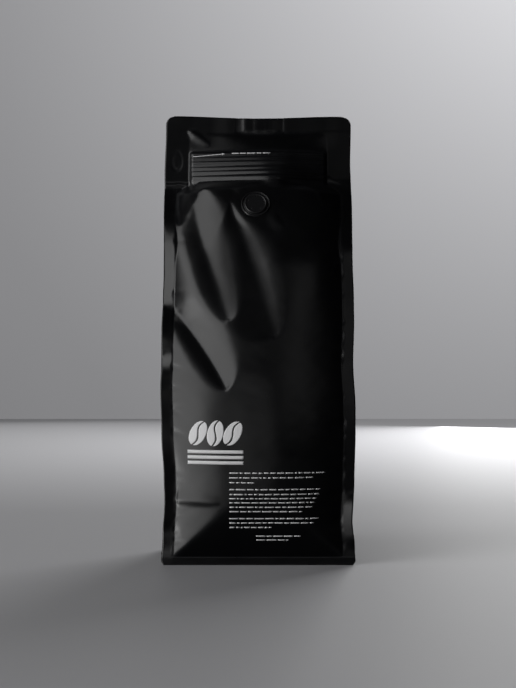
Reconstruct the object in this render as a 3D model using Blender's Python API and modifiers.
"""A filled flat-bottom coffee pouch with a one-way valve, standing on its base.

The pouch is one closed solid: film and contents, with sealed fins down its four corners, gussets that
fold inwards under the top seal, a pressed-in zip band, the valve's flat seat and the large folds of the
front.  The valve is a second piece that sits on its seat.

Frame: origin at the middle of the base on the surface that the pouch stands on, +Z up, +X to the right
seen from the front, and the front faces -Y.
"""

import math

import bmesh
import bpy
import numpy as np
from mathutils import Matrix, Vector

MM = 0.001

# Driving dimensions
WIDTH = 141.2 * MM  # over the outer edges of the corner fins
HEIGHT = 331 * MM
GUSSET = 89 * MM  # clear depth of the box, from front crease to back crease
FIN = 8 * MM  # width of a sealed corner fin
SKIRT = 5.5 * MM  # height of the sealed rim that the base hangs in
TOP_SEAL = 11.5 * MM  # height of the fused band at the top

# Film and seals
FIN_THICKNESS = 0.5 * MM
SEAL_HALF = 0.6 * MM  # half the thickness of the fused top band
SKIRT_THICKNESS = 1.8 * MM
SKIRT_FLARE = 0.2 * MM  # the skirt's foot stands out this far
GROOVE = 4.2 * MM  # the base panel's edge lies this high inside the skirt
BASE_FLAT_INSET = 13 * MM  # the base rests on a flat this far in from the skirt
TOP_CORNER = 7 * MM  # radius of the two top corners
BASE_CHAMFER = 2.5 * MM  # height of the clipped corner at the foot of a fin
TOP_DIP = 2.1 * MM  # how far the middle of the top edge sinks

# Derived heights and half widths
HALF_WIDTH = WIDTH / 2
HALF_GUSSET = GUSSET / 2
CREASE = HALF_WIDTH - FIN
SEAL_Z = HEIGHT - TOP_SEAL
SLOT_END_Z = 286 * MM  # the gusset slots close here, where only a narrow gap is left between the sides
NARROW_Z = 110 * MM  # from here up the pouch is less and less full
NARROWING = 0.11  # by how much a side leans in for each unit of height
SHOULDER_Z = 236 * MM  # here the gussets start to fold in, up to the ears, where the sides are pressed flat
SHOULDER_LEAN = 0.6
SLACK = 14 * MM  # what the gussets lose in depth before they fold

# Fullness of the panels
FRONT_BULGE = 14.5 * MM
BACK_BULGE = 12 * MM
CROWN_Z = 228 * MM  # here the crowns of the front and back start to lean in
FRONT_CROWN_LEAN = 0.355
BACK_CROWN_LEAN = 0.40
FRONT_ROOF = 0.54  # how steeply the front falls from its crown to the seal
BACK_ROOF = 0.55
SIDE_BULGE = 4.5 * MM
SIDE_DROP = 1.2  # how steeply a panel drops to its creases at the shoulder
BASE_RISE = 58 * MM  # height over which a panel fills out above the skirt
TENT_Z = 271 * MM  # from here up the panels are tents
APEX_SHIFT = 13 * MM  # the tent's crest runs this far right of the middle
FRONT_CREST = 0.06  # how round the tents' crests are, as a share of their half width
BACK_CREST = 0.8

# Zip band on the front
ZIP_LOW = 280.4 * MM
ZIP_HIGH = 302.8 * MM
ZIP_HALF = 52 * MM  # half its length, between the wide side seals
ZIP_STEP = 1.5 * MM  # how far the band stands out
ZIP_RIBS = (  # height of the middle, half width, how far it stands out
    (283.4 * MM, 2.2 * MM, 0.8 * MM),
    (287.4 * MM, 1.7 * MM, 0.7 * MM),
    (290.6 * MM, 1.4 * MM, 0.5 * MM),
    (294.8 * MM, 1.6 * MM, 0.7 * MM),
    (298.0 * MM, 1.3 * MM, 0.5 * MM),
    (301.8 * MM, 1.3 * MM, 0.7 * MM),
)

# Valve
VALVE_X = -1.6 * MM
VALVE_Z = 261.6 * MM
VALVE_RADIUS = 10.3 * MM
VALVE_DISC = 8.5 * MM  # radius of the raised middle
VALVE_RIM = 0.8 * MM  # thickness of the rim
VALVE_RISE = 1.7 * MM  # thickness at the raised middle
VALVE_GAP = 0.45 * MM  # clearance to its seat, whose facets rise a little round the valve
SEAT_FLAT = 11.2 * MM
SEAT_BLEND = 15.5 * MM

# Large folds, in millimetres: each is an uneven V pressed in along a line from start to end, with its depth,
# the widths of its lower and upper flanks, the radius of its crease, its sideways bow, and how softly its
# flanks run out
FRONT_FOLDS = (
    dict(start=(-62, 186.5), end=(-22, 127), depth=7.0, lower=12, upper=24, crease=0.7, bow=1.8, soft=0.4),
    dict(start=(-50, 279), end=(-21, 176), depth=6.0, lower=14, upper=22, crease=3.0, bow=-2.5, opening=0.25),
    dict(start=(-17, 252), end=(12, 164), depth=4.0, lower=30, upper=15, crease=3.5, bow=-0.5, soft=0.5),
    dict(start=(7, 255), end=(19, 243), depth=-0.9, lower=5, upper=5, crease=0.8),
    dict(start=(62, 214), end=(34, 158), depth=1.6, lower=16, upper=12, crease=1.0),
)
BACK_FOLDS = (
    dict(start=(62, 200), end=(12, 128), depth=5.0, lower=16, upper=22, crease=0.8),
    dict(start=(-62, 150), end=(-22, 96), depth=4.0, lower=14, upper=20, crease=0.8),
    dict(start=(20, 285), end=(6, 190), depth=2.6, lower=14, upper=14, crease=2.0, bow=2.0, soft=0.4),
    dict(start=(-44, 280), end=(-24, 190), depth=3.0, lower=12, upper=16, crease=2.0, bow=-2.0, soft=0.4),
    dict(start=(62, 62), end=(30, 30), depth=2.0, lower=10, upper=12, crease=0.8),
)

# How the fins wave, in millimetres against height: how far an outer edge leans back (or forward, if
# negative) from its panel, and how far it is drawn in from the full width
FRONT_LEFT_LEAN = (
    (0, 0), (9, 1.6), (22, 0.6), (34, -1.3), (80, -1.6), (93, -0.8), (122, -1.7), (136, -0.6),
    (148, 2.6), (158, 2.0), (169, -0.7), (185, -0.7), (197, 2.2), (216, 3.0), (236, 2.4), (262, 0.0),
)
FRONT_RIGHT_LEAN = (
    (0, 0), (14, -0.6), (22, -2.6), (46, -3.0), (56, 0.4), (90, -0.4), (130, 0.9), (170, 0.2),
    (215, 1.0), (262, 0.0),
)
BACK_LEAN = ((0, 0), (28, 1.4), (60, -1.0), (104, 1.5), (150, -0.7), (192, 1.2), (235, -0.5), (275, 0.0))
LEFT_DRAW = (
    (0, 0.4), (20, 1.6), (46, 3.0), (62, 2.6), (96, 0.8), (131, 0.0), (142, 0.4), (170, 0.4), (191, 0.9),
    (212, 1.6), (228, 1.7), (270, 0.6), (286, 0.6), (320, 1.5),
)
RIGHT_DRAW = (
    (0, 0.1), (12, 0.6), (32, 2.5), (60, 0.9), (96, 0.0), (113, 0.0), (146, 1.5), (176, 0.6), (192, 0.7),
    (222, 1.5), (234, 1.5), (268, 0.8), (280, 0.8), (294, 1.2), (322, 0.6),
)

# Fineness of the solid
FRONT_POINTS = 25
GUSSET_POINTS = 7
FOOT_RINGS = 8
BODY_RINGS = 27
VALVE_STEPS = 32


def smooth_step(t):
    """Rises from 0 to 1 as t goes from 0 to 1, level at both ends."""
    t = np.clip(t, 0, 1)
    return t * t * (3 - 2 * t)


def rounded_ramp(t, soft):
    """0 below -soft, t above +soft, and a parabola that joins them between."""
    return np.where(t < -soft, 0, np.where(t > soft, t, (t + soft) ** 2 / (4 * soft)))


def smooth_min(a, b, soft):
    return (a + b - np.sqrt((a - b) ** 2 + soft**2)) / 2


def through(knots, z):
    """A smooth curve through (height, value) knots in millimetres, level at each knot."""
    heights, values = np.array(knots, float).T * MM
    index = np.clip(np.searchsorted(heights, z) - 1, 0, len(heights) - 2)
    share = smooth_step((z - heights[index]) / (heights[index + 1] - heights[index]))
    return values[index] + (values[index + 1] - values[index]) * share


def outer_edge(side, z):
    """How far from the middle a fin ends: drawn in a little, with a round top corner and a clipped foot."""
    edge = HALF_WIDTH - through(LEFT_DRAW if side < 0 else RIGHT_DRAW, z)
    above = np.clip(z - (HEIGHT - TOP_CORNER), 0, TOP_CORNER)
    corner = TOP_CORNER - np.sqrt(TOP_CORNER**2 - above**2)
    return edge - corner * (edge - CREASE) / TOP_CORNER - 0.8 * np.clip(BASE_CHAMFER - z, 0, None)


def crease_x(side, z):
    """How far from the middle the crease between a panel and its fin runs."""
    return CREASE - through(LEFT_DRAW if side < 0 else RIGHT_DRAW, z) / 2


def upright_depth(z):
    """Half the depth of the pouch if it had no shoulder: it narrows gently with height."""
    reach = 30 * MM
    return HALF_GUSSET - NARROWING * reach * rounded_ramp((z - NARROW_Z) / reach, 1)


def half_depth(z):
    """Half the depth at the creases: it leans in at the shoulder, and ends in the flat ears."""
    reach = 12 * MM
    leaning = upright_depth(z) - SHOULDER_LEAN * reach * rounded_ramp((z - SHOULDER_Z) / reach, 1)
    return SEAL_HALF - smooth_min(SEAL_HALF - leaning, 0, 3 * MM)


def gusset_fold(z):
    """How deep a gusset is folded in at its middle, as its fixed width asks when the sides come together."""
    return np.sqrt(np.clip(HALF_GUSSET**2 - (half_depth(z) + SLACK) ** 2, 0, None))


def bulge(x, z, full, crown_lean, roof, apex_shift, half_width, crest):
    """How far a panel swells past its creases.

    Its crown leans in steadily above the shoulder.  Across, it falls from the crown as a parabola does,
    boxier with height, and drops steeply to the creases at the shoulder, where they lean in more.  Above
    that it turns into a tent, whose crest is the rounder the larger `crest` is.  A hip cuts it above the
    base, and a roof below the seal.
    """
    reach = 16 * MM
    apex = apex_shift * smooth_step((z - 230 * MM) / (50 * MM))
    off_apex = (x - apex) / np.where(x < apex, half_width + apex, half_width - apex)
    crown = upright_depth(z) + full - crown_lean * reach * rounded_ramp((z - CROWN_Z) / reach, 1)
    swell = crown - half_depth(z)
    boxiness = 2 + smooth_step((z - 150 * MM) / (70 * MM))
    rounded = swell - full * np.abs(off_apex) ** boxiness
    dome = smooth_min(rounded, SIDE_DROP * (half_width - np.abs(x)), 1.5 * MM)
    eave = math.hypot(1, crest)
    tent = swell * np.clip((eave - np.sqrt(off_apex**2 + crest**2)) / (eave - crest), 0, 1)
    share = smooth_step((z - TENT_Z) / (8 * MM))
    across = dome * (1 - share) + tent * share
    from_base = swell * (1 - (1 - np.clip((z - SKIRT) / BASE_RISE, 0, 1)) ** 2)
    from_seal = roof * np.clip(SEAL_Z - z, 0, None)
    return np.maximum(smooth_min(across, smooth_min(from_base, from_seal, 0.9 * MM), 0.9 * MM), 0)


def valley(x, z, start, end, depth, lower, upper, crease, bow=0.0, soft=0.3, opening=0.0):
    """An uneven V pressed in along a line, with its sizes in millimetres.

    Its depth and its upper width die away towards the end as an ellipse does, its lower width later.
    It starts at full depth, or opens from a point over a share of its length, and dies out at the latest
    at the stiff band of the zip.  A negative depth makes a ridge of it.
    """
    start, end = np.array(start, float), np.array(end, float)
    length = np.linalg.norm(end - start)
    along = (end - start) / length
    off_x, off_z = x / MM - start[0], z / MM - start[1]
    share = np.clip((off_x * along[0] + off_z * along[1]) / length, 0, 1)
    aside = off_z * along[0] - off_x * along[1]
    if along[0] < 0:
        aside = -aside
    aside = aside - bow * 4 * share * (1 - share)
    fade = np.sqrt(1 - share**2)
    late = np.sqrt(1 - share**4)
    opened = smooth_step((share + 0.3 * opening) / (1.3 * opening)) if opening else 1
    flank = np.where(aside < 0, lower * late, upper * fade) * opened
    distance = np.sqrt(aside**2 + crease**2) - crease
    below_zip = smooth_step((ZIP_LOW + 1 * MM - z) / (5 * MM))
    pressed = rounded_ramp(1 - distance / np.maximum(flank, 0.1), soft)
    return depth * MM * fade * np.sqrt(opened) * below_zip * pressed


def zip_band(x, z):
    """The band of film pressed over the zip, with its ribs, dying out at the wide side seals."""
    ends = smooth_step((ZIP_HALF - np.abs(x)) / (2.2 * MM))
    foot = smooth_step((z - ZIP_LOW + 1.5 * MM) / (2 * MM))
    head = smooth_step((ZIP_HIGH + 2 * MM - z) / (4 * MM))
    relief = ZIP_STEP * foot * head
    for middle, half, rise in ZIP_RIBS:
        relief = relief + rise * np.clip(1 - ((z - middle) / half) ** 2, 0, 1)
    return relief * ends


def front_before_seat(x, z):
    """How far forward of the middle plane the front film lies, without the valve's flat seat."""
    side = np.where(x < 0, -1, 1)
    crease = np.where(side < 0, crease_x(-1, z), crease_x(1, z))
    within = np.clip(x, -crease, crease)
    seal_side = smooth_step((z - 271 * MM) / (9 * MM))
    half_width = crease + (ZIP_HALF - crease) * seal_side
    forward = half_depth(z) + bulge(
        within, z, FRONT_BULGE, FRONT_CROWN_LEAN, FRONT_ROOF, APEX_SHIFT, half_width, FRONT_CREST
    )
    for fold in FRONT_FOLDS:
        forward = forward - valley(within, z, **fold)
    forward = forward + zip_band(x, z)
    forward = forward + SKIRT_FLARE * np.clip(1 - z / SKIRT, 0, 1)
    lean = np.where(side < 0, through(FRONT_LEFT_LEAN, z), through(FRONT_RIGHT_LEAN, z))
    return forward - lean * (np.abs(x) - np.abs(within)) / FIN


def seat_plane():
    """How far forward the valve's seat lies, and its slopes along X and Z, as the film around it lies."""
    reach = 14 * MM
    x = np.array([VALVE_X, VALVE_X - reach, VALVE_X + reach, VALVE_X, VALVE_X])
    z = np.array([VALVE_Z, VALVE_Z, VALVE_Z, VALVE_Z - reach, VALVE_Z + reach])
    y = front_before_seat(x, z)
    return y.mean(), (y[2] - y[1]) / (2 * reach), (y[4] - y[3]) / (2 * reach)


def front_surface(x, z):
    """How far forward of the middle plane the front film lies at x and z."""
    height, slope_x, slope_z = seat_plane()
    plane = height + slope_x * (x - VALVE_X) + slope_z * (z - VALVE_Z)
    distance = np.hypot(x - VALVE_X, z - VALVE_Z)
    flat = smooth_step((SEAT_BLEND - distance) / (SEAT_BLEND - SEAT_FLAT))
    loose = front_before_seat(x, z)
    forward = loose + (plane - loose) * flat
    return np.where(z > SEAL_Z, SEAL_HALF, np.maximum(forward, SEAL_HALF))


def back_surface(x, z):
    """How far behind the middle plane the back film lies at x and z."""
    crease = np.where(x < 0, crease_x(-1, z), crease_x(1, z))
    within = np.clip(x, -crease, crease)
    behind = half_depth(z) + bulge(within, z, BACK_BULGE, BACK_CROWN_LEAN, BACK_ROOF, 0, crease, BACK_CREST)
    for fold in BACK_FOLDS:
        behind = behind - valley(within, z, **fold)
    behind = behind + SKIRT_FLARE * np.clip(1 - z / SKIRT, 0, 1)
    behind = behind - through(BACK_LEAN, z) * (np.abs(x) - np.abs(within)) / FIN
    return np.where(z > SEAL_Z, SEAL_HALF, np.maximum(behind, SEAL_HALF))


def gusset_line(side, z, front_y, back_y):
    """Points across a side gusset at height z, from the front crease to the back one.

    Low down it bulges outwards, and above the shoulder it folds inwards at its middle.
    """
    v = np.linspace(-1, 1, GUSSET_POINTS)
    half = (back_y - front_y) / 2
    fold = float(gusset_fold(z))
    above_base = smooth_step((z - SKIRT) / (50 * MM))
    below_fold = smooth_step((SHOULDER_Z - z) / (60 * MM))
    flare = SKIRT_FLARE * max(1 - z / SKIRT, 0)
    swell = SIDE_BULGE * above_base * below_fold * (1 - v**2)
    x = crease_x(side, z) + flare + swell - fold * (1 - np.abs(v))
    return side * x, (front_y + back_y) / 2 + half * v


def top_edge_dip(x, z):
    """How far a point near the top is lowered, so that the top edge sags in the middle."""
    return TOP_DIP * (1 - smooth_step(np.abs(x) / CREASE)) * smooth_step((z - 303 * MM) / (22 * MM))


def ring(z):
    """The pouch's outline at height z as (x, y, z) points, anticlockwise from the left end of the front.

    The gussets' slots are open up to SLOT_END_Z, and above it front and back are pressed together.
    """
    slot_open = z <= SLOT_END_Z
    z_all = np.full(FRONT_POINTS, z)
    share = np.linspace(-1, 1, FRONT_POINTS)
    x = share * np.where(share < 0, crease_x(-1, z_all), crease_x(1, z_all))
    front_y = -front_surface(x, z_all)
    back_y = back_surface(x, z_all)
    points = list(zip(x, front_y))
    for side, corner in ((1, -1), (-1, 0)):
        edge = float(outer_edge(side, np.array(z))) * side
        at_edge, at_z = np.array([edge]), np.array([z])
        front_edge = -float(front_surface(at_edge, at_z)[0])
        back_edge = float(back_surface(at_edge, at_z)[0])
        front_crease = front_y[corner] + FIN_THICKNESS
        back_crease = back_y[corner] - FIN_THICKNESS
        if slot_open:
            gusset_x, gusset_y = gusset_line(side, z, front_crease, back_crease)
        else:
            gusset_x = np.full(GUSSET_POINTS, edge)
            gusset_y = np.linspace(front_edge, back_edge, GUSSET_POINTS)
        middle = (front_edge + back_edge) / 2
        inner_front = min(front_edge + FIN_THICKNESS, middle) if slot_open else front_edge
        inner_back = max(back_edge - FIN_THICKNESS, middle) if slot_open else back_edge
        around = [(edge, front_edge), (edge, inner_front)]
        around += zip(gusset_x, gusset_y)
        around += [(edge, inner_back), (edge, back_edge)]
        if side > 0:
            points += around + list(zip(x[::-1], back_y[::-1]))
        else:
            points += around[::-1]
    points = np.array(points)
    heights = z - top_edge_dip(points[:, 0], z)
    return np.column_stack([points, heights])


def base_ring(inset, z):
    """The outline of the base, `inset` in from the skirt's outside, with as many points as a ring has.

    Fins have no place here: their points gather in the corners.
    """
    half_x, half_y = CREASE - inset, HALF_GUSSET + SKIRT_FLARE - inset
    across = np.linspace(-half_x, half_x, FRONT_POINTS)
    front = [(x, -half_y) for x in across]
    back = [(x, half_y) for x in across[::-1]]
    side = [(half_x, y) for y in np.linspace(-half_y, half_y, GUSSET_POINTS)]
    front_right, back_right = [(half_x, -half_y)] * 2, [(half_x, half_y)] * 2
    right = front_right + side + back_right
    left = [(-x, -y) for x, y in right]
    return np.array([(x, y, z) for x, y in front + right + back + left])


def add_object(name, mesh, material, collection):
    piece = bpy.data.objects.new(name, mesh)
    mesh.materials.append(material)
    collection.objects.link(piece)
    return piece


def loft(name, rings):
    """A mesh through rings of equal length, closed by the first and last ring as flat faces."""
    mesh = bmesh.new()
    rows = [[mesh.verts.new(point) for point in outline] for outline in rings]
    count = len(rows[0])
    for lower, upper in zip(rows, rows[1:]):
        for i in range(count):
            j = (i + 1) % count
            mesh.faces.new((lower[i], lower[j], upper[j], upper[i]))
    mesh.faces.new(rows[0][::-1])
    bmesh.ops.remove_doubles(mesh, verts=mesh.verts, dist=0.002 * MM)
    bmesh.ops.dissolve_degenerate(mesh, edges=mesh.edges, dist=0.001 * MM)
    open_edges = [edge for edge in mesh.edges if edge.is_boundary]
    if open_edges:
        bmesh.ops.holes_fill(mesh, edges=open_edges)
    bmesh.ops.triangulate(mesh, faces=mesh.faces)
    bmesh.ops.recalc_face_normals(mesh, faces=mesh.faces)
    data = bpy.data.meshes.new(name)
    mesh.to_mesh(data)
    mesh.free()
    data.shade_smooth()
    data.set_sharp_from_angle(angle=math.radians(35))
    return data


def ring_heights():
    """Heights of the rings: close above the skirt, over the zip's ribs and where the slots end."""
    foot = SKIRT + (54 * MM - SKIRT) * np.linspace(0, 1, FOOT_RINGS) ** 1.4
    body = np.linspace(62 * MM, ZIP_LOW - 1.5 * MM, BODY_RINGS)
    ribs = [middle + share * half for middle, half, _ in ZIP_RIBS for share in (-1, 0, 1)]
    slot_end = [SLOT_END_Z, SLOT_END_Z + 0.2 * MM]
    above_zip = [ZIP_HIGH + 1.5 * MM, ZIP_HIGH + 5 * MM, ZIP_HIGH + 10 * MM, SEAL_Z - 2.5 * MM]
    top = [SEAL_Z + 0.1 * MM] + [HEIGHT - share * TOP_CORNER for share in (1, 0.4, 0.1, 0)]
    return sorted([0, 0.5 * SKIRT, *foot, *body, *ribs, *slot_end, *above_zip, *top])


def top_line(z):
    """The top ring folded onto the middle plane, which closes the fused band."""
    outline = ring(z)
    outline[:, 1] = 0
    return outline


def make_pouch(material, collection):
    """Lofts the pouch from the flat of its base, out over the groove and the skirt, and up to the seal."""
    rings = [
        base_ring(BASE_FLAT_INSET, 0),
        base_ring(SKIRT_THICKNESS + 1.4 * MM, GROOVE),
        base_ring(SKIRT_THICKNESS, GROOVE),
        base_ring(SKIRT_THICKNESS - 0.3 * MM, 0),
    ]
    rings += [ring(height) for height in ring_heights()]
    rings.append(top_line(HEIGHT))
    return add_object("pouch", loft("pouch", rings), material, collection)


def make_valve(material, collection):
    """A turned button: a thin rim round a raised disc, on the flat seat of the front."""
    profile = [
        (0, VALVE_RISE - 0.25 * MM),
        (0.7 * VALVE_DISC, VALVE_RISE - 0.2 * MM),
        (VALVE_DISC - 0.9 * MM, VALVE_RISE),
        (VALVE_DISC - 0.3 * MM, VALVE_RISE - 0.3 * MM),
        (VALVE_DISC, VALVE_RIM),
        (VALVE_RADIUS - 0.5 * MM, VALVE_RIM),
        (VALVE_RADIUS, VALVE_RIM - 0.3 * MM),
        (VALVE_RADIUS, 0),
        (0, 0),
    ]
    mesh = bmesh.new()
    corners = [mesh.verts.new((radius, 0, rise)) for radius, rise in profile]
    for a, b in zip(corners, corners[1:]):
        mesh.edges.new((a, b))
    data = bpy.data.meshes.new("degassing_valve")
    mesh.to_mesh(data)
    mesh.free()
    valve = add_object("degassing_valve", data, material, collection)
    turn = valve.modifiers.new("turn", "SCREW")
    turn.axis = "Z"
    turn.steps = turn.render_steps = VALVE_STEPS
    turn.use_merge_vertices = True
    turn.merge_threshold = 0.00001
    turn.use_smooth_shade = True
    height, slope_x, slope_z = seat_plane()
    outward = Vector((-slope_x, -1, -slope_z)).normalized()
    seat = Vector((VALVE_X, -height, VALVE_Z))
    spin = outward.to_track_quat("Z", "Y").to_matrix().to_4x4()
    valve.matrix_world = Matrix.Translation(seat + outward * VALVE_GAP) @ spin
    return valve


def make_material(name, colour, roughness):
    material = bpy.data.materials.new(name)
    material.use_nodes = True
    shader = material.node_tree.nodes["Principled BSDF"]
    shader.inputs["Base Color"].default_value = (*colour, 1)
    shader.inputs["Roughness"].default_value = roughness
    shader.inputs["Metallic"].default_value = 0
    return material


def main():
    for old in list(bpy.data.objects):
        bpy.data.objects.remove(old, do_unlink=True)
    collection = bpy.data.collections.new("coffee_bag")
    bpy.context.scene.collection.children.link(collection)
    film = make_material("black_film", (0.012, 0.012, 0.014), 0.42)
    plastic = make_material("valve_plastic", (0.02, 0.02, 0.022), 0.32)
    make_pouch(film, collection)
    make_valve(plastic, collection)


main()
